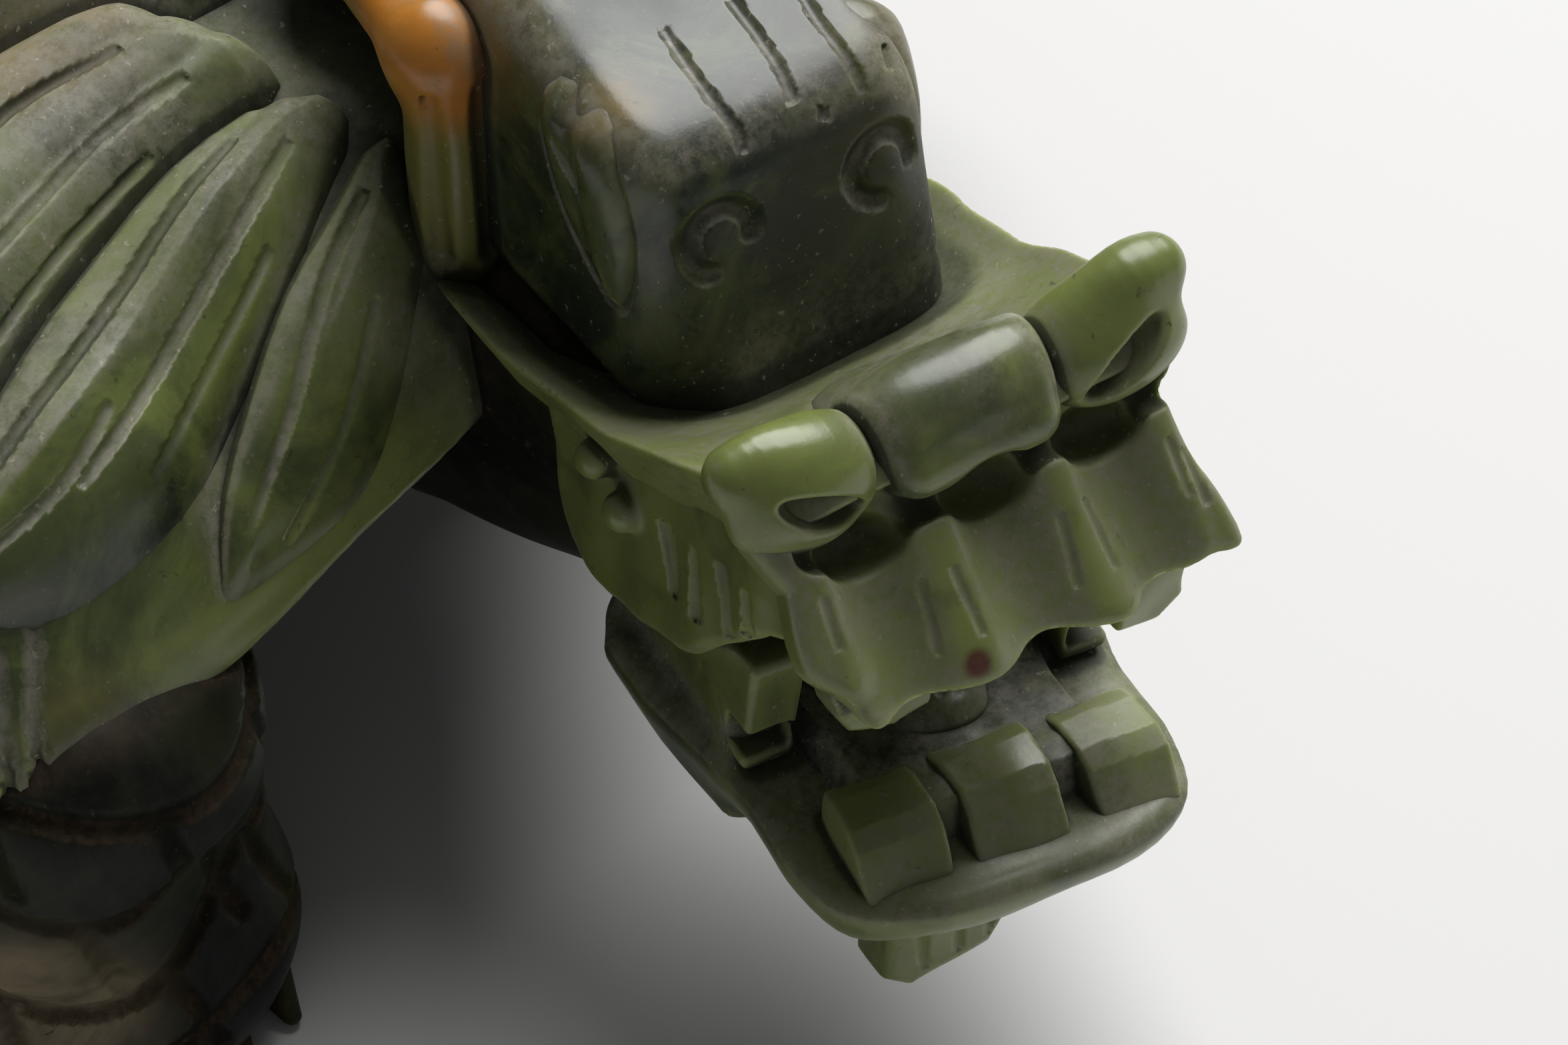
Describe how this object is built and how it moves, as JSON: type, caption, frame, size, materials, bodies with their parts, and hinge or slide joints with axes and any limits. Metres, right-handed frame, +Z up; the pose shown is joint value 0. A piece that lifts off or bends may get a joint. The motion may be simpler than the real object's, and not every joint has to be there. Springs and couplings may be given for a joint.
{
  "type": "jade dragon turtle figurine",
  "caption": "Carved jade dragon turtle: an open-mouthed dragon's head, turned to its right, and a draped mane on a turtle's plated shell, standing on scaled, clawed legs.",
  "frame": {"origin": "on the table, under the middle of the figure's bounding box", "axes": "+Z up, the body faces -Y, +X is the animal's left; the head is turned 25 degrees to its right"},
  "size_m": [0.1282, 0.2, 0.075],
  "materials": {
    "jade": "polished, translucent spinach green",
    "jade_dark": "satin, dark green with brown in the cuts",
    "jade_skin": "polished, orange-brown pebble skin over green"
  },
  "bodies": {
    "root": {"back_claws_left": "jade_dark", "back_claws_right": "jade_dark", "back_leg_left": "jade_dark", "back_leg_right": "jade_dark", "beard": "jade", "belly": "jade_dark", "carapace": "jade", "cheek_left": "jade", "cheek_right": "jade", "cranium": "jade", "ear_left": "jade", "ear_right": "jade", "flank_plate_left_1": "jade", "flank_plate_left_2": "jade", "flank_plate_left_3": "jade", "flank_plate_left_4": "jade", "flank_plate_right_1": "jade", "flank_plate_right_2": "jade", "flank_plate_right_3": "jade", "flank_plate_right_4": "jade", "front_claws_left": "jade_dark", "front_claws_right": "jade_dark", "front_leg_left": "jade_dark", "front_leg_right": "jade_dark", "horn_left": "jade_skin", "horn_right": "jade_skin", "lower_jaw": "jade", "lower_tooth_left": "jade", "lower_tooth_middle": "jade", "lower_tooth_right": "jade", "mane_crest": "jade_skin", "mane_lock_back_left": "jade", "mane_lock_back_right": "jade", "mane_lock_front_left": "jade", "mane_lock_front_right": "jade", "mane_lock_middle_left": "jade", "mane_lock_middle_right": "jade", "muzzle": "jade", "neck": "jade_dark", "nose_bridge": "jade", "nostril_left": "jade", "nostril_right": "jade", "ridge_plate_1": "jade", "ridge_plate_2": "jade", "ridge_plate_3": "jade", "ridge_plate_4": "jade", "ridge_plate_5": "jade", "shell_skirt": "jade", "side_teeth_left": "jade", "side_teeth_right": "jade", "tail": "jade_dark", "tongue": "jade", "upper_fang_left": "jade", "upper_fang_right": "jade"}
  },
  "joints": []
}
